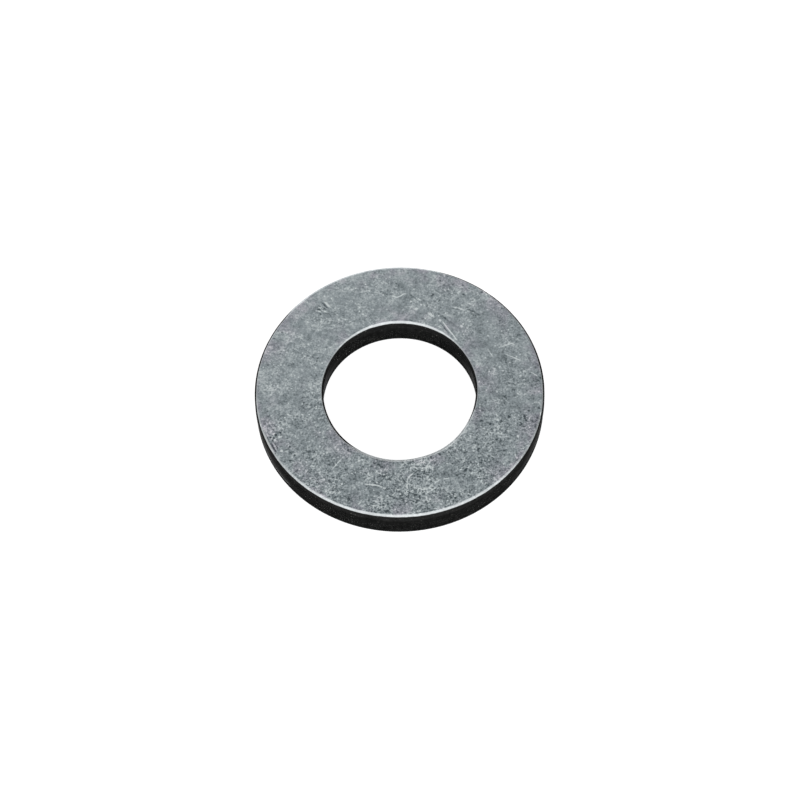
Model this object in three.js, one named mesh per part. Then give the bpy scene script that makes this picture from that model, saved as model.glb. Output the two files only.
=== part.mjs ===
// A flat washer for an M10 bolt: one ring, blanked and pierced from steel strip in one stroke.
// Millimetres, +Z up. The origin is on the hole's axis, in the plane of the lower bearing face.

import * as THREE from "three";

// Driving dimensions.
const OUTER_DIAMETER = 20;
const HOLE_DIAMETER = 10.5;
const THICKNESS = 2;
const ROLLED_EDGE_RADIUS = 0.3; // the upper rims, which the die draws over as it cuts
const LOWER_EDGE_RADIUS = 0.1; // the lower rims, left by the cut and only broken by tumbling

// How finely the round shapes are divided.
const SEGMENTS_ROUND_AXIS = 128;
const ARC_DIVISIONS = 2; // a path splits an arc into twice this many straight steps

const STEEL_FINISH = { color: 0x8a9194, roughness: 0.45, metalness: 1.0 };

// Adds the rounded corner at (radius, height), a quarter turn anticlockwise from startAngle.
// outward and upward are +1 or -1 and say which way the corner points.
function addRoundedCorner(outline, radius, height, edgeRadius, outward, upward, startAngle) {
  const centreRadius = radius - outward * edgeRadius;
  const centreHeight = height - upward * edgeRadius;
  outline.absarc(centreRadius, centreHeight, edgeRadius, startAngle, startAngle + Math.PI / 2, false);
}

// The ring's section in (radius, height), anticlockwise from the lower face at the hole.
function ringSection() {
  const outer = OUTER_DIAMETER / 2;
  const inner = HOLE_DIAMETER / 2;
  const section = new THREE.Path();
  addRoundedCorner(section, inner, 0, LOWER_EDGE_RADIUS, -1, -1, Math.PI);
  addRoundedCorner(section, outer, 0, LOWER_EDGE_RADIUS, 1, -1, -Math.PI / 2);
  addRoundedCorner(section, outer, THICKNESS, ROLLED_EDGE_RADIUS, 1, 1, 0);
  addRoundedCorner(section, inner, THICKNESS, ROLLED_EDGE_RADIUS, -1, 1, Math.PI / 2);
  const points = section.getPoints(ARC_DIVISIONS);
  return [...points, points[0].clone()];
}

// The section turned about the hole's axis. A lathe turns about Y, so the ring is then laid flat.
function ringGeometry() {
  const ring = new THREE.LatheGeometry(ringSection(), SEGMENTS_ROUND_AXIS);
  ring.rotateX(Math.PI / 2);
  return ring;
}

const washer = new THREE.Mesh(ringGeometry(), new THREE.MeshStandardMaterial(STEEL_FINISH));
washer.name = "washer_ring";

const flatWasher = new THREE.Group();
flatWasher.add(washer);

export default flatWasher;
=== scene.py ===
# A flat washer for an M10 bolt, blanked and pierced from steel strip and then tumbled.
# It is one ring: mottled grey faces, bright rolled rims partly painted as a highlight, and sheared walls
# painted near-black as shade.
# The ring made here has the imported ring's sizes and replaces it, with the surface that stamping
# leaves.

import math

import bpy
import numpy as np
from mathutils import Matrix, Vector, noise
from mathutils.geometry import delaunay_2d_cdt
from mathutils.kdtree import KDTree


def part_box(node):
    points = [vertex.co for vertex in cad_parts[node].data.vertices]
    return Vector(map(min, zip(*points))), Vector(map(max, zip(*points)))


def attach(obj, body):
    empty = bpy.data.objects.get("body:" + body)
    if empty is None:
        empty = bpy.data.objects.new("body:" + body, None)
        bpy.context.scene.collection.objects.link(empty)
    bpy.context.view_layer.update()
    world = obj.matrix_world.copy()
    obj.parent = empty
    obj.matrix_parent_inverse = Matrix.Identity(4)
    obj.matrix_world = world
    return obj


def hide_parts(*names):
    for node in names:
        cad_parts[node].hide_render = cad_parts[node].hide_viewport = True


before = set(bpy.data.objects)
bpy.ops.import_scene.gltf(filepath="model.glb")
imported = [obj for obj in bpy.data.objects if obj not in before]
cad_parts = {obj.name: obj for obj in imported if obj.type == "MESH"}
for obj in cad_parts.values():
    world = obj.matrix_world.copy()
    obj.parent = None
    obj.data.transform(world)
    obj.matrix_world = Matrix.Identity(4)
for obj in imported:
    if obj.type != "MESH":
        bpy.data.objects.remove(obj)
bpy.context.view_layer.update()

MM = 0.001  # all lengths below are in metres
SEED = 10

# The camera looks along +Y and steeply down on the ring, from far off through a long lens.
CAMERA_ELEVATION = math.radians(60.7)
CAMERA_ROLL = math.radians(1.45)
CAMERA_DISTANCE = 344 * MM
CAMERA_LENS = 223.8
CAMERA_AIM = Vector((0.015 * MM, 0, 0.69 * MM))

# The section of the ring at a wall: a rolled upper rim, a straight wall, and a lower edge that is
# only just broken.
ROLL_REACH = 0.36 * MM
ROLL_DROP = 0.4 * MM
ROLL_START = math.radians(34)  # the roll is an ellipse from this angle on, so the face breaks into it
ROLL_WANDER = 0.12  # how much the roll grows and shrinks round the ring, as a share of its size
ROLL_WAVE_SIZE = 2.5 * MM
SIDE_ROLL = 0.55  # the size of the roll where a wall faces the sides, as a share of the front's
SEAM_REACH = 0.06 * MM
LOWER_EDGE = 0.06 * MM
ROLL_STEPS = 10
FIRST_WALL_ROW = 3  # from this row of the roll on, the surface has the walls' material
WALL_STEPS = 18
LOWER_STEPS = 2
LAST_ROW = ROLL_STEPS + WALL_STEPS + LOWER_STEPS + 1
SEGMENTS = 768
WALL_POINTS = (LAST_ROW + 1) * SEGMENTS

# Where the bright steel of a rim ends, on a wall that faces to the front, to the back or to the
# side with the painted highlight. It is given as a turn: 0 where the face ends and 1 where the wall
# begins.
BRIGHT_END = 0.31
BACK_END = 0.15
HIGHLIGHT_SIDE_END = 0.95
HIGHLIGHT_SIDE = math.radians(105)

# How far the rims are rubbed from the face's mottled steel to bright steel, as a share, and more at the
# front: a painted highlight.
FRONT_POLISH_AND_HIGHLIGHT = 0.75
SIDE_POLISH_AND_HIGHLIGHT = 0.4
STRUCK_SIDE = math.radians(203)  # where the outer rim was struck and rubbed bright
STRUCK_SPREAD = math.radians(5)

# What differs between the two walls: the turn where the bright steel ends at the left and the
# right, how far the side with the painted highlight spreads, and the roll and the polish, with its
# painted highlight, where the wall faces back.
OUTER_WALL = {"side_end": 0.42, "highlight_spread": math.radians(40), "back_roll": 0.55, "back_polish_and_highlight": 0.4}
BORE_WALL = {"side_end": 0.18, "highlight_spread": math.radians(65), "back_roll": 0.95, "back_polish_and_highlight": 0.62}

# The wall below the smooth land that the punch wiped is torn, leans in and is rough.
LAND_SHARE = 0.45  # of the ring's thickness, measured from the upper face
LAND_WANDER = 0.09
LAND_WAVE_SIZE = 1.3 * MM
TEAR_START = 0.2 * MM  # how far below the land the metal takes to be fully torn
TEAR_LEAN = 0.09 * MM
TEAR_ROUGHNESS = 0.018 * MM
TORN_LUMP = 0.22 * MM
TORN_GRAIN = 0.09 * MM
DRAG_DEPTH = 0.003 * MM
DRAG_WIDTH = 0.12 * MM
DRAG_SLIMNESS = 0.06  # the drag lines' width as a share of their height

# Nicks in the rolled rims, from the washers knocking together as they are tumbled.
NICKS_PER_RIM = 10
NICK_DEPTH = 0.022 * MM
NICK_WIDTH = 0.16 * MM
DEEP_NICK = math.radians(348)
DEEP_NICK_SHARE = 1.2  # of the nicks' depth

# The faces: a slight wave, tumbling dents, pits and scratches.
UPPER_SPACING = 0.115 * MM
LOWER_SPACING = 0.15 * MM
FACE_WAVE = 0.008 * MM
FACE_WAVE_SIZE = 7 * MM
DENTS = 240
DENT_DEPTH = 0.004 * MM
PITS = 90
HAIRLINES = 80
SCRATCH_STEP = 0.08 * MM  # between the points along a scratch
SCRATCH_WOBBLE = 0.008 * MM
MARK_GAP = 0.03 * MM  # points of marks that cross are thinned to this distance
WEAR_REACH = 1.8 * MM  # how far from a rim the face is rubbed lighter

# How light the steel is, from 0 to 1, and where.
MIDDLE_TONE = 0.45
MARK_CONTRAST = 0.65
# Painted light: the steel is painted lighter towards this side, the way the light falls on it.
PAINTED_LIGHT_SIDE = math.radians(127)
PAINTED_LIGHT_TONE = 0.06  # how much lighter than the middle tone it is there
PAINTED_LIGHT_REACH = 8 * MM

# Burr low on the outer wall, painted bright as a glint where it catches the light. These azimuths are
# from -180 to 180 degrees, as ARCTAN2 gives.
BURR_SIDE = math.radians(-155)
BURR_SPREAD = math.radians(9)
BURR_LINE_SIDE = math.radians(-145)
BURR_LINE_SPREAD = math.radians(5.5)
BURR_HEIGHT = 0.45 * MM
BEAD_SIZE = 0.1 * MM

# Light. A direction's y is 1 straight to the back and -1 to the front, and its z is 1 overhead.
BACK_RADIANCE = 0.55
FRONT_RADIANCE = 1.12
BACK_EDGE = 0.12  # the y where the back's light ends
FRONT_EDGE = -0.35  # the y where the front's light is full
LOW_BACK_SHARE = 1.6  # how bright the sky is low down, as a share of its brightness overhead
LOW_FRONT_SHARE = 0.65
HORIZON_RADIANCE = 1.1
FLAG_SHADE = 0.45
FLOOR_SIZE = 8
FLOOR_COLOUR = (0.6, 0.6, 0.6, 1)
FLOOR_GLOW = 0.8


def ring_sizes():
    """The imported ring's outer radius, bore radius and thickness."""
    radii = [math.hypot(v.co.x, v.co.y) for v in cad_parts["washer_ring"].data.vertices]
    low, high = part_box("washer_ring")
    return max(radii), min(radii), high.z - low.z


def waves(points, size):
    """A smooth random value from about -1 to 1 for each point, changing over about size metres."""
    return np.array([noise.noise(Vector(p) / size) for p in points])


def polar(radius, degrees):
    """The place at this radius in millimetres and this angle from +X."""
    angle = math.radians(degrees)
    return radius * MM * math.cos(angle), radius * MM * math.sin(angle)


# ---- The ring's rims and walls ----

def edge_rows(thickness):
    """Rows of (inset, height, turn) from the upper face round the rolled rim and down the wall.

    inset is how far a row lies behind the wall's plane; turn is 0 where a face ends and 1 on the
    wall. The first row lies on the upper face, just inside the seam, and its turn is negative.
    """
    rows = [(ROLL_REACH + SEAM_REACH, thickness, -1 / ROLL_STEPS)]
    half_width = ROLL_REACH / (1 - math.sin(ROLL_START))
    half_height = ROLL_DROP / math.cos(ROLL_START)
    for turn in np.linspace(0, 1, ROLL_STEPS + 1):
        angle = ROLL_START + turn * (math.pi / 2 - ROLL_START)
        rows.append((
            half_width * (1 - math.sin(angle)),
            thickness - half_height * (math.cos(ROLL_START) - math.cos(angle)),
            turn,
        ))
    for height in np.linspace(thickness - ROLL_DROP, LOWER_EDGE, WALL_STEPS + 1)[1:]:
        rows.append((0, height, 1))
    for turn in np.linspace(1, 0, LOWER_STEPS + 1)[1:]:
        angle = turn * math.pi / 2
        rows.append((
            LOWER_EDGE * (1 - math.sin(angle)),
            LOWER_EDGE * (1 - math.cos(angle)),
            turn,
        ))
    return np.array(rows)


def nick_depths(angles, radius, places):
    """How deep the rim is knocked in at each angle."""
    depths = np.zeros(len(angles))
    for place, share in places:
        away = np.abs((angles - place + math.pi) % (2 * math.pi) - math.pi) * radius
        depths = np.maximum(depths, NICK_DEPTH * share * np.exp(-((away / NICK_WIDTH) ** 2)))
    return depths


def eased(values, low, high):
    """A smooth step from 0 to 1 as the values go from low to high."""
    share = np.clip((values - low) / (high - low), 0, 1)
    return share ** 2 * (3 - 2 * share)


def by_facing(normals, front, side, back):
    """A value for each direction that a wall faces, which is these at the front, sides and back."""
    values = side + (front - side) * eased(-normals[:, 1], 0.4, 1)
    return values + (back - side) * eased(normals[:, 1], 0.3, 0.9)


def bright_ends(normals, side_end, spread):
    """The turn at which the bright steel ends, for each direction that a wall faces; it reaches furthest
    on the side with the painted highlight.
    """
    ends = BRIGHT_END + (side_end - BRIGHT_END) * normals[:, 0] ** 2
    ends += (BACK_END - ends) * eased(normals[:, 1], -0.3, 0.2)
    # Painted highlight: the bright steel reaches furthest down the rim on one side.
    towards_highlight = normals @ (math.cos(HIGHLIGHT_SIDE), math.sin(HIGHLIGHT_SIDE))
    wear_and_highlight = eased(towards_highlight, math.cos(spread), math.cos(spread / 3))
    return ends + (HIGHLIGHT_SIDE_END - ends) * wear_and_highlight


def wall_points(wall_radius, outward, thickness, nicks, wall):
    """The points of one wall with its rims, row by row, and the values that its materials read.

    outward is 1 for the outer wall and -1 for the bore. wall is OUTER_WALL or BORE_WALL. Adding
    outward to the places that the land's waves are taken from gives each wall waves of its own.
    """
    rows = edge_rows(thickness)
    angles = np.arange(SEGMENTS) * 2 * math.pi / SEGMENTS
    around = np.stack([np.cos(angles), np.sin(angles)], 1)
    on_circle = np.column_stack([around * wall_radius, np.zeros(SEGMENTS)])

    swell = 1 + ROLL_WANDER * waves(on_circle, ROLL_WAVE_SIZE)
    swell *= by_facing(outward * around, 1, SIDE_ROLL, wall["back_roll"])
    land_wave = LAND_WANDER * waves(on_circle + outward, LAND_WAVE_SIZE)
    land_end = thickness * (1 - LAND_SHARE + land_wave)
    knocks = nick_depths(angles, wall_radius, nicks)
    points = []
    nick_wear_and_glint = []
    for inset, height, turn in rows:
        rolled = height > thickness - ROLL_DROP
        growth = swell if rolled else np.ones(SEGMENTS)
        knock = knocks * math.sin(math.pi * max(turn, 0)) if rolled else 0 * knocks
        heights = thickness - (thickness - height) * growth - knock
        here = np.column_stack([around * wall_radius, heights])
        insets = inset * growth + knock + wall_relief(here, land_end, turn)
        radii = wall_radius - outward * insets
        points.append(np.column_stack([around * radii[:, None], heights]))
        nick_wear_and_glint.append(knock / NICK_DEPTH)
    return np.concatenate(points), wall_values(rows[:, 2], nick_wear_and_glint, angles, outward, wall)


def wall_values(turns, nick_wear_and_glint, angles, outward, wall):
    """Turn, shine with its painted glints, bright end, and polish with its painted highlight, for each
    point of a wall, row by row.
    """
    facing = outward * np.stack([np.cos(angles), np.sin(angles)], 1)
    ends = bright_ends(facing, wall["side_end"], wall["highlight_spread"])
    # Painted highlight: the rims get more bright steel where a wall faces the front.
    polishes_and_highlights = by_facing(facing, FRONT_POLISH_AND_HIGHLIGHT, SIDE_POLISH_AND_HIGHLIGHT, wall["back_polish_and_highlight"])
    if outward > 0:
        struck = np.exp(-(((angles - STRUCK_SIDE) / STRUCK_SPREAD) ** 4))
        polishes_and_highlights += (1 - polishes_and_highlights) * struck
    return np.column_stack([
        np.repeat(turns, SEGMENTS),
        np.concatenate(nick_wear_and_glint),
        np.tile(ends, len(turns)),
        np.tile(polishes_and_highlights, len(turns)),
    ])


def wall_relief(points, land_end, turn):
    """How far each point of a row sinks behind the wall's plane: drag lines above, torn metal below."""
    heights = points[:, 2]
    tear = np.clip((land_end - heights) / TEAR_START, 0, 1)
    lean = TEAR_LEAN * np.clip((land_end - heights) / land_end, 0, 1) ** 1.2
    torn = TEAR_ROUGHNESS * (0.5 + 0.5 * waves(points, TORN_LUMP) + 0.4 * waves(points, TORN_GRAIN))
    drag = DRAG_DEPTH * (1 + waves(points * (1, 1, DRAG_SLIMNESS), DRAG_WIDTH))
    return max(turn, 0) * (tear * (lean + np.abs(torn)) + (1 - tear) * drag)


def strip_quads(first, outward):
    """The quads between the rows of a wall whose points start at index first."""
    row, column = np.meshgrid(np.arange(LAST_ROW), np.arange(SEGMENTS), indexing="ij")
    following = (column + 1) % SEGMENTS
    corners = [
        row * SEGMENTS + column,
        (row + 1) * SEGMENTS + column,
        (row + 1) * SEGMENTS + following,
        row * SEGMENTS + following,
    ]
    if outward < 0:
        corners.reverse()
    return first + np.stack([c.ravel() for c in corners], 1)


# ---- Marks on the faces ----
# A mark is rows of (x, y, height, lightness): the lightness is above 0 where the mark is lighter,
# bared steel with a painted glint on it, and below 0 where it is darker.

def scratch(route, width, depth, wear_glint_and_shade):
    """A groove along the route, deepest and brightest in its middle, with raised lips."""
    route = np.array(route)
    lengths = np.hypot(*np.diff(route, axis=0).T)
    ends = np.concatenate([[0], np.cumsum(lengths)])
    count = max(int(ends[-1] / SCRATCH_STEP), 3)
    along = np.linspace(0, ends[-1], count)
    path = np.column_stack([np.interp(along, ends, route[:, axis]) for axis in (0, 1)])
    lift = np.column_stack([path, np.zeros(count)])
    path += SCRATCH_WOBBLE * np.column_stack([waves(lift, 0.5 * MM), waves(lift + MM, 0.5 * MM)])

    forward = np.gradient(path, axis=0)
    forward /= np.hypot(*forward.T)[:, None]
    across = np.column_stack([-forward[:, 1], forward[:, 0]])
    fade = np.sin(np.linspace(0.06, 0.97, count) * math.pi) ** 0.8
    fade *= 1 + 0.6 * waves(lift, 0.12 * MM)
    rows = []
    for side, height, light in ((-1, 0.3, 0.0), (0, -1.0, 1.0), (1, 0.3, 0.0)):
        rows.append(np.column_stack([
            path + side * width / 2 * across,
            depth * height * fade,
            wear_glint_and_shade * light * fade,
        ]))
    return np.concatenate(rows)


def pit(place, radius, depth, wear_glint_and_shade):
    """A round-bottomed pit of this radius."""
    rows = [(*place, -depth, wear_glint_and_shade)]
    for reach, height, light in ((0.5, -0.8, 0.8), (1.0, 0.0, 0.0)):
        for angle in np.linspace(0, 2 * math.pi, 7, endpoint=False):
            x = place[0] + reach * radius * math.cos(angle)
            y = place[1] + reach * radius * math.sin(angle)
            rows.append((x, y, depth * height, wear_glint_and_shade * light))
    return np.array(rows)


def chance_marks(outer, bore, random):
    """Pits and hairlines scattered over a face."""
    marks = []
    for _ in range(PITS):
        place = chance_place(outer, bore, random)
        size = random.uniform(0.05, 0.12) * MM
        marks.append(pit(place, size, size * 0.12, random.uniform(-0.7, 0.5)))
    for _ in range(HAIRLINES):
        start = chance_place(outer, bore, random)
        heading = random.uniform(0, 2 * math.pi)
        bend = random.uniform(-0.25, 0.25)
        length = random.uniform(0.2, 1.2) * MM
        middle = start + length / 2 * np.array([math.cos(heading), math.sin(heading)])
        end = middle + length / 2 * np.array([math.cos(heading + bend), math.sin(heading + bend)])
        marks.append(scratch([start, middle, end], 0.08 * MM, 0.003 * MM, random.uniform(0.2, 0.55)))
    return marks


def chance_place(outer, bore, random):
    """A random place on a face, as likely anywhere."""
    radius = math.sqrt(random.uniform(bore ** 2, outer ** 2))
    angle = random.uniform(0, 2 * math.pi)
    return radius * np.array([math.cos(angle), math.sin(angle)])


def stroke(places, width, wear_glint_and_shade, depth=0.006):
    """A scratch through these (radius, degrees) places; the radii, width and depth are in mm."""
    return scratch([polar(*place) for place in places], width * MM, depth * MM, wear_glint_and_shade)


def upper_marks():
    """The larger scuffs that this washer carries on its upper face."""
    return hatched_scuff() + long_scuffs() + fine_scratches() + chipped_edge() + single_pits()


def hatched_scuff():
    """One straight gouge with a painted highlight along its lip, and short chatter marks that run up to
    it.
    """
    marks = [
        stroke([(8.84, 124.8), (8.24, 124.5)], 0.15, 2.2, 0.008),
        stroke([(8.88, 126.0), (8.22, 125.8)], 0.18, -0.9, 0.008),
    ]
    for radius, degrees, wear_glint_and_shade in (
        (8.62, 128.2, 2.4), (8.58, 129.3, -1.2), (8.5, 130.0, 2.4), (8.27, 130.6, -1.0),
        (8.4, 127.1, -1.3), (8.2, 127.8, 2.2), (8.14, 129.0, -0.9),
    ):
        places = [(radius + 0.12, degrees + 0.5), (radius - 0.12, degrees - 0.5)]
        marks.append(stroke(places, 0.16, wear_glint_and_shade))
    return marks


def long_scuffs():
    """Drag marks across the back and the front of the face, most with a bright and a dark side."""
    return [
        stroke([(7.6, 92.5), (7.47, 90.3), (7.57, 88.2), (7.76, 86.6), (7.76, 84.5)], 0.13, 1.7),
        stroke([(7.82, 84.2), (7.56, 81.3), (7.28, 78.4)], 0.15, -0.6),
        stroke([(7.5, 79.6), (7.34, 77.4)], 0.18, 1.8),
        stroke([(6.5, 70.4), (6.35, 66.7)], 0.22, 2.4, 0.010),
        stroke([(6.7, 70.6), (6.54, 66.2)], 0.14, -0.5),
        stroke([(6.82, 69.2), (6.67, 64.7), (6.49, 56.4), (6.46, 46.0)], 0.24, -0.35, 0.004),
        stroke([(6.28, 60.5), (5.94, 53.9), (5.65, 43.9)], 0.12, 2.4, 0.008),
        stroke([(6.12, 61.5), (5.78, 54.5), (5.64, 50.4)], 0.12, -0.8),
        stroke([(7.57, 61.0), (7.75, 57.4), (7.84, 53.3)], 0.18, 0.9, 0.004),
        stroke([(7.93, 54.2), (8.09, 50.5), (8.2, 46.0)], 0.17, -0.45, 0.004),
        stroke([(7.68, 250.7), (7.55, 257.2), (7.68, 261.0)], 0.15, 2.0),
        stroke([(7.5, 290.0), (7.8, 283.5)], 0.30, 0.7, 0.004),
        stroke([(8.76, 346.0), (9.06, 343.0)], 0.13, -1.8),
        stroke([(8.32, 324.0), (8.77, 326.3)], 0.13, -1.1),
    ]


def fine_scratches():
    """Thin bright scratches, each nearly straight."""
    return [
        stroke([start, end], 0.13, wear_glint_and_shade)
        for start, end, wear_glint_and_shade in (
            ((6.87, 273.4), (6.49, 277.4), 1.8),
            ((6.62, 284.3), (6.07, 287.5), 1.5),
            ((7.88, 272.3), (6.87, 273.3), 1.0),
            ((8.3, 280.8), (7.97, 287.0), 1.2),
            ((7.56, 292.1), (7.66, 295.2), 1.4),
            ((7.73, 231.8), (6.38, 232.0), 1.3),
            ((9.33, 326.4), (9.6, 325.0), 1.1),
            ((9.19, 7.6), (9.6, 5.2), 1.2),
            ((7.86, 24.9), (8.83, 24.1), 0.9),
            ((7.82, 20.4), (8.77, 14.0), 0.9),
            ((6.9, 25.9), (6.98, 21.8), 1.0),
        )
    ]


def chipped_edge():
    """Where the rim was struck: drag lines along it, with chips and bright flecks, painted glints,
    beside them.
    """
    marks = [
        stroke([(9.68, 203.0), (9.7, 208.3)], 0.14, -1.4),
        stroke([(9.58, 203.6), (9.6, 208.0)], 0.12, 1.4),
        stroke([(9.45, 203.8), (9.5, 208.4)], 0.12, -1.0),
    ]
    for radius, degrees, size, wear_glint_and_shade in (
        (9.16, 200.7, 0.12, -2.0), (9.37, 201.7, 0.1, -1.8), (9.57, 201.0, 0.1, -1.6),
        (9.49, 202.4, 0.1, -1.6), (8.7, 208.8, 0.12, -0.8), (9.28, 199.9, 0.11, 2.2),
        (9.52, 201.7, 0.1, 2.4), (9.37, 202.8, 0.11, 2.2), (8.99, 202.3, 0.11, 1.6),
        (9.34, 208.8, 0.12, 1.8),
    ):
        marks.append(pit(polar(radius, degrees), size * MM, 0.010 * MM, wear_glint_and_shade))
    return marks


def single_pits():
    """Dark pits, and bright flecks that are painted glints, where the face was struck once."""
    marks = []
    for radius, degrees, size, wear_glint_and_shade in (
        (8.83, 345.1, 0.14, -2.0), (9.02, 343.4, 0.11, -1.6), (7.87, 314.2, 0.13, -1.1),
        (7.09, 318.4, 0.14, -1.0), (6.78, 335.5, 0.13, -0.9), (7.69, 305.2, 0.14, -0.9),
        (7.83, 343.3, 0.13, -1.0), (7.98, 72.2, 0.17, -0.5), (9.45, 263.8, 0.15, -2.0),
        (6.63, 78.7, 0.15, 0.9), (6.27, 62.1, 0.13, 1.2), (6.68, 48.7, 0.14, 1.0),
        (8.07, 56.1, 0.13, 0.8), (8.9, 334.6, 0.12, 1.5), (7.68, 261.0, 0.13, 2.0),
    ):
        marks.append(pit(polar(radius, degrees), size * MM, 0.010 * MM, wear_glint_and_shade))
    return marks


# ---- The ring's faces ----

def lattice(outer, spacing, random):
    """Points all over a disc of this radius, on a jittered triangular grid."""
    row_step = spacing * math.sqrt(3) / 2
    count = int(2 * outer / row_step) + 2
    rows, columns = np.meshgrid(np.arange(count), np.arange(count), indexing="ij")
    x = -outer + (columns + 0.5 * (rows % 2)) * spacing
    y = -outer + rows * row_step
    points = np.stack([x.ravel(), y.ravel()], 1)
    return points + random.uniform(-0.15, 0.15, points.shape) * spacing


def between(points, outer_loop, inner_loop, gap):
    """Which of the points lie between the two loops, and further than gap from both."""
    angles = np.arctan2(points[:, 1], points[:, 0])
    column = np.round(angles / (2 * math.pi) * SEGMENTS).astype(int) % SEGMENTS
    radii = np.hypot(points[:, 0], points[:, 1])
    inside_outer = radii < np.hypot(*outer_loop.T)[column] - gap
    return inside_outer & (radii > np.hypot(*inner_loop.T)[column] + gap)


def near_any(points, others, reach):
    """Which of the points lie within reach of any of the others."""
    tree = KDTree(len(others))
    for index, other in enumerate(others):
        tree.insert((*other, 0), index)
    tree.balance()
    return np.array([tree.find((*p, 0))[2] < reach for p in points])


def dent_heights(points, outer, bore, random):
    """The shallow round dents of tumbling, as a height for each point."""
    heights = np.zeros(len(points))
    for _ in range(DENTS):
        place = chance_place(outer, bore, random)
        radius = random.uniform(0.15, 0.5) * MM
        depth = random.uniform(0.4, 1) * DENT_DEPTH
        away = np.hypot(*(points - place).T) / radius
        heights -= depth * np.clip(1 - away ** 2, 0, 1) ** 2
    return heights


def face_inside(outer_loop, inner_loop, outer, bore, spacing, marks, random):
    """Rows of (x, y, height, shine) for the points inside a face, its marks among them."""
    marked = np.concatenate(marks)
    marked = marked[between(marked, outer_loop, inner_loop, 0.5 * spacing)]
    cells = np.round(marked[:, :2] / MARK_GAP)
    marked = marked[np.sort(np.unique(cells, axis=0, return_index=True)[1])]
    grid = lattice(outer, spacing, random)
    grid = grid[between(grid, outer_loop, inner_loop, 0.6 * spacing)]
    grid = grid[~near_any(grid, marked[:, :2], 0.6 * spacing)]
    inside = np.concatenate([marked, np.column_stack([grid, np.zeros((len(grid), 2))])])
    inside[:, 2] += dent_heights(inside[:, :2], outer, bore, random)
    return inside


def face_triangles(outer_loop, inner_loop, inside):
    """Triangles over a face: indices into the outer loop, the inner loop and the inside points."""
    flat = np.concatenate([outer_loop, inner_loop, inside]) / MM
    found = delaunay_2d_cdt([Vector(p) for p in flat], [], [], 0, 1e-6, False)
    triangles = np.array(found[2])
    on_bore = (triangles >= SEGMENTS) & (triangles < 2 * SEGMENTS)
    return triangles[~on_bore.all(axis=1)]


def chance_nicks(random):
    """Nicks at random places round a rim, as (angle, share of the nicks' depth)."""
    return [(random.uniform(0, 2 * math.pi), random.uniform(0.3, 0.8)) for _ in range(NICKS_PER_RIM)]


def make_face(walls, sizes, row, upward, spacing, marks, first, random):
    """One face: its inside points, the values that its material reads, and its triangles.

    walls are the points of the outer wall and of the bore, and the face ends on this row of them.
    upward is 1 for the upper face and -1 for the lower, and first is the first point's index.
    """
    outer, bore, thickness = sizes
    start = row * SEGMENTS
    outer_loop, inner_loop = (points[start:start + SEGMENTS, :2] for points in walls)
    inside = face_inside(outer_loop, inner_loop, outer, bore, spacing, marks, random)
    triangles = face_triangles(outer_loop, inner_loop, inside[:, :2])
    loop = start + np.arange(SEGMENTS)
    index = np.concatenate([loop, WALL_POINTS + loop, first + np.arange(len(inside))])
    height = thickness if upward > 0 else 0
    points = np.column_stack([inside[:, :2], height + upward * inside[:, 2]])
    values = np.zeros((len(inside), 4))
    values[:, 1] = inside[:, 3]
    return points, values, index[triangles]


def ring_surface(sizes):
    """The ring's points, the values that its materials read, and its polygons, the walls' first."""
    outer, bore, thickness = sizes
    random = np.random.default_rng(SEED)
    outer_nicks = chance_nicks(random) + [(DEEP_NICK, DEEP_NICK_SHARE)]
    outer_wall, outer_values = wall_points(outer, 1, thickness, outer_nicks, OUTER_WALL)
    bore_wall, bore_values = wall_points(bore, -1, thickness, chance_nicks(random), BORE_WALL)
    walls = (outer_wall, bore_wall)

    marks = chance_marks(outer, bore, random) + upper_marks()
    upper, upper_values, upper_triangles = make_face(
        walls, sizes, 0, 1, UPPER_SPACING, marks, 2 * WALL_POINTS, random
    )
    marks = chance_marks(outer, bore, random)
    lower, lower_values, lower_triangles = make_face(
        walls, sizes, LAST_ROW, -1, LOWER_SPACING, marks, 2 * WALL_POINTS + len(upper), random
    )

    points = np.concatenate([outer_wall, bore_wall, upper, lower])
    points[:, 2] = np.clip(points[:, 2], 0, thickness)
    face_wave = 0.5 + 0.5 * waves(points * (1, 1, 0), FACE_WAVE_SIZE)
    points[:, 2] *= 1 - FACE_WAVE / thickness * face_wave
    values = np.concatenate([outer_values, bore_values, upper_values, lower_values])
    polygons = strip_quads(0, 1).tolist() + strip_quads(WALL_POINTS, -1).tolist()
    polygons += upper_triangles.tolist() + lower_triangles[:, ::-1].tolist()
    return points, values, polygons


def material_slots(polygon_count):
    """1 for each polygon with the walls' material, and 0 for the others."""
    wall_slots = np.repeat(np.arange(LAST_ROW) >= FIRST_WALL_ROW, SEGMENTS)
    slots = np.zeros(polygon_count, int)
    slots[:2 * len(wall_slots)] = np.tile(wall_slots, 2)
    return slots


def make_ring():
    """The whole ring as one closed mesh, with the attributes that its materials read."""
    sizes = ring_sizes()
    points, values, polygons = ring_surface(sizes)
    mesh = bpy.data.meshes.new("washer")
    mesh.from_pydata(points.tolist(), [], polygons)
    mesh.shade_smooth()
    mesh.polygons.foreach_set("material_index", material_slots(len(polygons)))

    for column, name in enumerate(("turn", "wear_glint_and_shade", "bright_end", "polish_and_highlight")):
        add_attribute(mesh, name, values[:, column])
    outer, bore, _ = sizes
    radii = np.hypot(points[:, 0], points[:, 1])
    to_rim = np.minimum(outer - radii, radii - bore)
    add_attribute(mesh, "wear", np.clip(1 - to_rim / WEAR_REACH, 0, 1))

    ring = bpy.data.objects.new("washer", mesh)
    bpy.context.scene.collection.objects.link(ring)
    return ring


def add_attribute(mesh, name, values):
    """Keeps one number for each vertex under name, for the materials."""
    attribute = mesh.attributes.new(name, "FLOAT", "POINT")
    attribute.data.foreach_set("value", np.asarray(values, np.float32))


# ---- Materials ----

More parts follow.
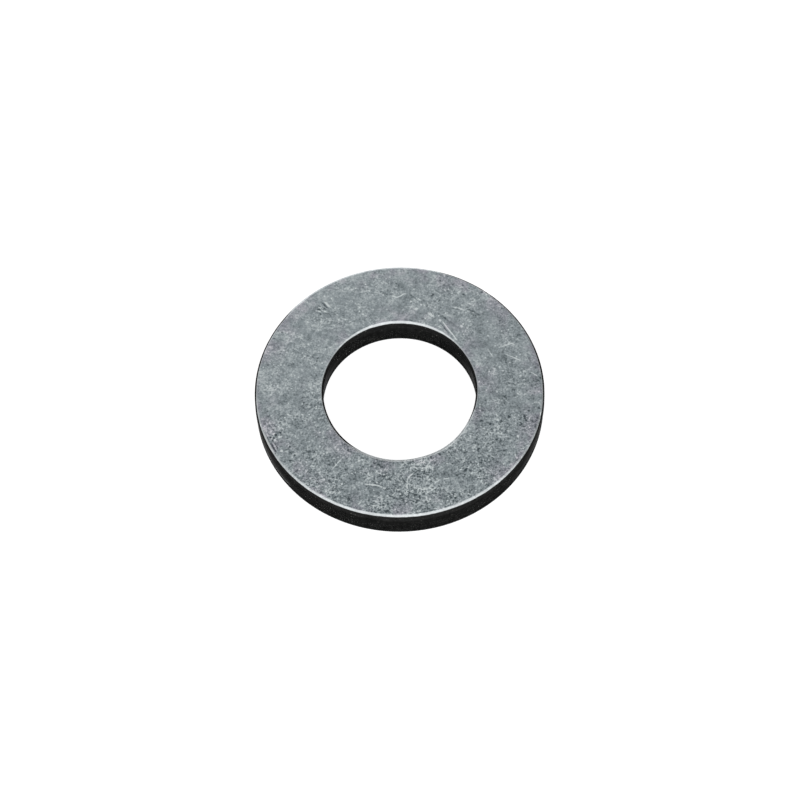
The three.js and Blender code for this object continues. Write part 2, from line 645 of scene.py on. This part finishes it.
class Graph:
    """The nodes of one material. Each method adds a node and returns its output."""

    def __init__(self, owner):
        owner.use_nodes = True
        self.tree = owner.node_tree

    def add(self, kind, inputs, output=0, **settings):
        node = self.tree.nodes.new(kind)
        for key, value in settings.items():
            setattr(node, key, value)
        for key, value in inputs.items():
            self.feed(node.inputs[key], value)
        return node.outputs[output]

    def feed(self, socket, value):
        if isinstance(value, bpy.types.NodeSocket):
            self.tree.links.new(value, socket)
        else:
            socket.default_value = value

    def place(self, name="Object"):
        return self.add("ShaderNodeTexCoord", {}, name)

    def part(self, vector, axis):
        """One number of a vector: 0, 1 or 2 for x, y or z."""
        return self.add("ShaderNodeSeparateXYZ", {0: vector}, axis)

    def attribute(self, name):
        return self.add("ShaderNodeAttribute", {}, "Fac", attribute_name=name)

    def math(self, operation, a, b=0.0, c=0.0):
        return self.add("ShaderNodeMath", {0: a, 1: b, 2: c}, operation=operation)

    def times(self, *values):
        """The product of the values."""
        total = values[0]
        for value in values[1:]:
            total = self.math("MULTIPLY", total, value)
        return total

    def plus(self, *values):
        """The sum of the values."""
        total = values[0]
        for value in values[1:]:
            total = self.math("ADD", total, value)
        return total

    def noise(self, size, detail=2.0, roughness=0.5):
        """Cloudy values round 0.5 that change over about size metres."""
        inputs = {"Vector": self.place(), "Scale": 1 / size, "Detail": detail, "Roughness": roughness}
        return self.add("ShaderNodeTexNoise", inputs, "Fac")

    def streaks(self, parts, sizes):
        """Values round 0.5 that change over a different size along each of three coordinates."""
        scaled = [self.times(part, 1 / size) for part, size in zip(parts, sizes)]
        vector = self.add("ShaderNodeCombineXYZ", dict(enumerate(scaled)))
        return self.add("ShaderNodeTexNoise", {"Vector": vector, "Scale": 1.0, "Detail": 2.0}, "Fac")

    def cells(self, size):
        """Random cells of about size metres: each one's value, and the distance from its middle."""
        value = self.add("ShaderNodeTexVoronoi", {"Vector": self.place(), "Scale": 1 / size}, "Color")
        return self.part(value, 0), value.node.outputs["Distance"]

    def specks(self, size, share):
        """1 in the middle of a few cells, 0 round them; share is how many cells have a speck."""
        value, distance = self.cells(size)
        chosen = self.step(value, 1 - share, 1 - 0.8 * share)
        return self.times(chosen, self.step(distance, 0.1, 0.4, 1.0, 0.0))

    def step(self, value, low, high, start=0.0, end=1.0):
        """A smooth step from start to end as value goes from low to high."""
        inputs = {"Value": value, "From Min": low, "From Max": high, "To Min": start, "To Max": end}
        return self.add("ShaderNodeMapRange", inputs, interpolation_type="SMOOTHSTEP")

    def within(self, value, middle, reach):
        """1 where value is near middle, 0 from reach away."""
        away = self.math("ABSOLUTE", self.math("SUBTRACT", value, middle))
        return self.step(away, reach, 0.6 * reach)

    def mix(self, share, a, b):
        """Colour a, turning into colour b as share goes from 0 to 1."""
        inputs = {0: share, 6: a, 7: b}
        return self.add("ShaderNodeMix", inputs, 2, data_type="RGBA")

    def ramp(self, value, colours):
        output = self.add("ShaderNodeValToRGB", {"Fac": value})
        stops = output.node.color_ramp.elements
        while len(stops) < len(colours):
            stops.new(0.5)
        for stop, (position, colour) in zip(stops, colours):
            stop.position = position
            stop.color = (*colour, 1)
        return output

    def bump(self, height):
        """Normals for a surface raised by height, in metres."""
        return self.add("ShaderNodeBump", {"Strength": 1.0, "Distance": 1.0, "Height": height})

    def weighted(self, terms):
        """Adds up share * (value - 0.5) for each (value, share)."""
        total = 0.0
        for value, share in terms:
            total = self.math("MULTIPLY_ADD", value, share, self.math("SUBTRACT", total, 0.5 * share))
        return total


def new_material(name):
    """A material, its graph and its shader."""
    material = bpy.data.materials.new(name)
    graph = Graph(material)
    return material, graph, graph.tree.nodes["Principled BSDF"].inputs


STEEL_TONES = (
    (0.0, (0.10, 0.125, 0.135)),
    (0.5, (0.44, 0.50, 0.525)),
    (1.0, (0.93, 1.0, 1.0)),
)
BRIGHT_STEEL = (0.84, 0.87, 0.88, 1)
# The walls' near-black colours are painted shade, standing for the dark that their steel reflects.
WALL_PAINTED_SHADE = (0.0105, 0.0107, 0.0107, 1)
WALL_PAINTED_SHADE_LIGHTER = (0.0270, 0.0272, 0.0270, 1)
WALL_SPECK = (0.13, 0.13, 0.12, 1)
BURR_GLINT = (0.8, 0.83, 0.83, 1)
PINK_TARNISH = (1.0, 0.90, 0.965, 1)


def steel_tone(graph):
    """How light the tumbled steel is, 0 to 1: clouds, blotches and grain at their real sizes.

    The grain is stronger towards the front, and comes and goes in patches. Towards one side the steel is
    painted lighter, as painted light.
    """
    x, y = (graph.part(graph.place(), axis) for axis in (0, 1))
    towards_front = graph.step(y, -7 * MM, 3 * MM, 1.4, 0.75)
    patchy = graph.step(graph.noise(2.2 * MM, 1.0), 0.3, 0.7, 0.7, 1.3)
    grain = graph.times(crisp_grain(graph), towards_front, patchy)
    marks = graph.times(graph.attribute("wear_glint_and_shade"), MARK_CONTRAST)
    wear_and_highlight = graph.times(graph.attribute("wear"), 0.05)
    # Painted light: a gentle gradient, lighter towards one side.
    slope = PAINTED_LIGHT_TONE / PAINTED_LIGHT_REACH
    painted_light = graph.plus(
        graph.times(x, slope * math.cos(PAINTED_LIGHT_SIDE)),
        graph.times(y, slope * math.sin(PAINTED_LIGHT_SIDE)),
    )
    return graph.plus(MIDDLE_TONE, painted_light, grain, soft_clouds(graph), marks, wear_and_highlight)


def crisp_grain(graph):
    """The finest variation of the steel's tone, round 0: grain, specks, blots and threads. The light and
    dark specks stand for tiny facets catching light and missing it: painted glints and painted dark
    reflections.
    """
    cell, _ = graph.cells(0.10 * MM)
    grain = graph.weighted([(cell, 0.36), (graph.noise(0.14 * MM, 2.0, 0.7), 1.0)])
    # Painted glints and painted dark reflections: light and dark specks for tiny facets.
    painted_glints = graph.times(graph.specks(0.24 * MM, 0.14), 0.6)
    painted_dark = graph.times(graph.specks(0.33 * MM, 0.14), -0.38)
    blots = graph.step(graph.noise(0.33 * MM, 3.0, 0.6), 0.6, 0.74, 0.0, -0.3)
    return graph.plus(grain, blots, painted_glints, painted_dark, threads(graph))


def soft_clouds(graph):
    """The broad variation of the steel's tone, round 0."""
    return graph.weighted([
        (graph.noise(4.5 * MM, 1.0), 0.1),
        (graph.noise(1.0 * MM, 3.0, 0.6), 0.8),
        (graph.noise(0.4 * MM, 2.0, 0.6), 0.5),
    ])


def threads(graph):
    """Fine light lines that wander over the steel, strong in some places and missing in others."""
    total = 0.0
    for size, strength in ((0.9 * MM, 0.12), (1.5 * MM, 0.15)):
        level = graph.math("ABSOLUTE", graph.math("SUBTRACT", graph.noise(size, 2.0), 0.5))
        line = graph.step(level, 0.03 * MM / size, 0.005 * MM / size, 0.0, strength)
        here = graph.step(graph.noise(0.7 * size, 0.0), 0.48, 0.62)
        total = graph.math("MULTIPLY_ADD", line, here, total)
    return total


def rim_steel(graph):
    """The bright steel of the rolled rims, which the tumbling has rubbed in streaks."""
    x, y = (graph.part(graph.place(), axis) for axis in (0, 1))
    streaks = graph.streaks((x, y, graph.attribute("turn")), (3 * MM, 3 * MM, 0.1))
    rub = graph.weighted([(graph.noise(0.8 * MM, 2.0), 0.3), (streaks, 1.6)])
    dull = tuple(0.75 * value for value in BRIGHT_STEEL[:3])
    return graph.mix(graph.plus(rub, 0.6), (*dull, 1), BRIGHT_STEEL)


def polished_and_highlighted(graph, colour):
    """The colour of the face going over into the rims' bright steel, through which it still shows; the
    share is a polish, painted higher at the front as a highlight.
    """
    on_rim = graph.step(graph.attribute("turn"), 0.0, 0.08)
    polish_and_highlight = graph.times(on_rim, graph.attribute("polish_and_highlight"))
    return graph.mix(polish_and_highlight, colour, rim_steel(graph))


def tarnished(graph, colour):
    """The colour with faint pink patches near the rims."""
    patches = graph.step(graph.noise(1.4 * MM), 0.45, 0.62)
    share = graph.times(graph.attribute("wear"), patches)
    inputs = {0: share, 6: colour, 7: PINK_TARNISH}
    return graph.add("ShaderNodeMix", inputs, 2, data_type="RGBA", blend_type="MULTIPLY")


def seam_shade(graph):
    """Painted shade: a dark line just inside a rim that is polished and painted bright, patchy at the
    front and whole where it was struck.
    """
    polish_and_highlight = graph.attribute("polish_and_highlight")
    line = graph.step(graph.attribute("turn"), -0.01, -0.08)
    highlighted_rim = graph.step(polish_and_highlight, 0.62, 0.72)
    patchy = graph.step(graph.noise(1.8 * MM, 1.0), 0.42, 0.55, -0.03, -0.3)
    struck = graph.step(polish_and_highlight, 0.8, 1.0, 0.0, -0.6)
    return graph.times(line, highlighted_rim, graph.math("MINIMUM", patchy, struck))


def tumbled_steel():
    """The faces and the upper part of the rims."""
    material, graph, shader = new_material("tumbled_steel")
    tone = graph.plus(steel_tone(graph), seam_shade(graph))
    colour = polished_and_highlighted(graph, tarnished(graph, graph.ramp(tone, STEEL_TONES)))
    graph.feed(shader["Base Color"], colour)
    graph.feed(shader["Metallic"], 1.0)
    smoother = graph.step(graph.attribute("turn"), 0.0, 0.08, 0.0, -0.14)
    graph.feed(shader["Roughness"], graph.plus(graph.step(tone, 0.2, 0.8, 0.46, 0.36), smoother))
    grain = graph.times(graph.noise(0.12 * MM, 2.0), 0.010 * MM)
    graph.feed(shader["Normal"], graph.bump(grain))
    return material


def shaded_wall_steel(graph):
    """Steel painted near-black as shade, with fine upright drag lines and clouds, and a few bare specks.
    """
    x, y, z = (graph.part(graph.place(), axis) for axis in range(3))
    drag = graph.streaks((x, y, z), (0.09 * MM, 0.09 * MM, 1.4 * MM))
    share = graph.plus(graph.weighted([(drag, 1.3), (graph.noise(0.5 * MM, 3.0), 1.4)]), 0.5)
    wall = graph.mix(share, WALL_PAINTED_SHADE, WALL_PAINTED_SHADE_LIGHTER)
    faint = graph.times(graph.specks(0.1 * MM, 0.12), 0.45)
    return graph.mix(graph.plus(faint, graph.specks(0.14 * MM, 0.03)), wall, WALL_SPECK)


def burr_glint_share(graph):
    """A painted glint on the burr low on the outer wall: a row of beads, and a faint thin line beside
    them.
    """
    x, y, z = (graph.part(graph.place(), axis) for axis in range(3))
    azimuth = graph.math("ARCTAN2", y, x)
    beads = graph.times(
        graph.step(graph.noise(BEAD_SIZE, 0.0), 0.52, 0.64, 0.0, 0.6),
        graph.within(z, BURR_HEIGHT, 0.13 * MM),
        graph.within(azimuth, BURR_SIDE, BURR_SPREAD),
    )
    line = graph.times(
        graph.within(z, BURR_HEIGHT, 0.05 * MM),
        graph.within(azimuth, BURR_LINE_SIDE, BURR_LINE_SPREAD),
        0.4,
    )
    square = graph.plus(graph.times(x, x), graph.times(y, y))
    on_outer_wall = graph.step(square, (7 * MM) ** 2, (8 * MM) ** 2)
    return graph.times(on_outer_wall, graph.math("MAXIMUM", beads, line))


def sheared_steel():
    """The walls, painted near-black as shade, and the lower part of the rims where bright steel ends
    raggedly.
    """
    material, graph, shader = new_material("sheared_steel")
    turn = graph.attribute("turn")
    ragged = graph.weighted([(graph.noise(0.5 * MM, 3.0), 0.1)])
    past = graph.math("SUBTRACT", graph.plus(turn, ragged), graph.attribute("bright_end"))
    # Painted shade: past the bright steel the wall takes its near-black colour.
    painted_dark = graph.step(past, -0.05, 0.04)
    wall = graph.mix(burr_glint_share(graph), shaded_wall_steel(graph), BURR_GLINT)
    rim = polished_and_highlighted(graph, graph.ramp(steel_tone(graph), STEEL_TONES))
    graph.feed(shader["Base Color"], graph.mix(painted_dark, rim, wall))
    graph.feed(shader["Metallic"], 1.0)
    graph.feed(shader["Roughness"], graph.step(painted_dark, 0.0, 1.0, 0.27, 0.45))
    shader["Specular Tint"].default_value = (0.37, 0.37, 0.37, 1)
    return material


# ---- The studio ----

def place_camera():
    forward = Vector((0, math.cos(CAMERA_ELEVATION), -math.sin(CAMERA_ELEVATION)))
    turn = Matrix.Rotation(CAMERA_ROLL, 3, forward)
    right = turn @ Vector((1, 0, 0))
    up = turn @ Vector((0, math.sin(CAMERA_ELEVATION), math.cos(CAMERA_ELEVATION)))
    camera = bpy.data.objects.new("camera", bpy.data.cameras.new("camera"))
    camera.data.lens = CAMERA_LENS
    camera.data.clip_start = 0.01
    camera.matrix_world = Matrix.Translation(CAMERA_AIM - forward * CAMERA_DISTANCE) @ Matrix(
        (right, up, -forward)
    ).transposed().to_4x4()
    bpy.context.scene.collection.objects.link(camera)
    bpy.context.scene.camera = camera


def light_studio():
    """Soft light all round: bright in front, grey behind, and a dark flag at the back right."""
    world = bpy.data.worlds.new("studio")
    graph = Graph(world)
    direction = graph.place("Generated")
    x, y, z = (graph.part(direction, axis) for axis in range(3))
    overhead = graph.step(y, BACK_EDGE, FRONT_EDGE, BACK_RADIANCE, FRONT_RADIANCE)
    low_share = graph.step(y, BACK_EDGE, FRONT_EDGE, LOW_BACK_SHARE, LOW_FRONT_SHARE)
    open_sky = graph.times(overhead, graph.step(z, 0.2, 0.5, low_share, 1.0))
    azimuth = graph.math("ARCTAN2", y, x)
    flag = graph.times(
        graph.step(azimuth, math.radians(8), math.radians(20)),
        graph.step(azimuth, math.radians(86), math.radians(76)),
        graph.step(z, 0.6, 0.4),
    )
    shaded = graph.times(open_sky, graph.step(flag, 0.0, 1.0, 1.0, FLAG_SHADE))
    horizon = graph.step(graph.math("ABSOLUTE", z), 0.05, 0.12, HORIZON_RADIANCE, 0.0)
    background = graph.tree.nodes["Background"].inputs
    graph.feed(background["Strength"], graph.math("MAXIMUM", shaded, horizon))
    graph.feed(background["Color"], (1, 1, 1, 1))
    bpy.context.scene.world = world
    bpy.context.scene.view_settings.view_transform = "Standard"


def lay_floor():
    """A pale floor that glows a little, as a light table does, so that shadows on it stay faint."""
    half = FLOOR_SIZE / 2
    mesh = bpy.data.meshes.new("floor")
    corners = [(-half, -half, 0), (half, -half, 0), (half, half, 0), (-half, half, 0)]
    mesh.from_pydata(corners, [], [(0, 1, 2, 3)])
    material, graph, shader = new_material("floor_white")
    graph.feed(shader["Base Color"], FLOOR_COLOUR)
    graph.feed(shader["Roughness"], 1.0)
    graph.feed(shader["Specular IOR Level"], 0.0)
    graph.feed(shader["Emission Color"], (1, 1, 1, 1))
    graph.feed(shader["Emission Strength"], FLOOR_GLOW)
    mesh.materials.append(material)
    floor = bpy.data.objects.new("floor", mesh)
    bpy.context.scene.collection.objects.link(floor)


place_camera()
light_studio()
lay_floor()

washer = make_ring()
washer.data.materials.append(tumbled_steel())
washer.data.materials.append(sheared_steel())
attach(washer, "root")
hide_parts("washer_ring")
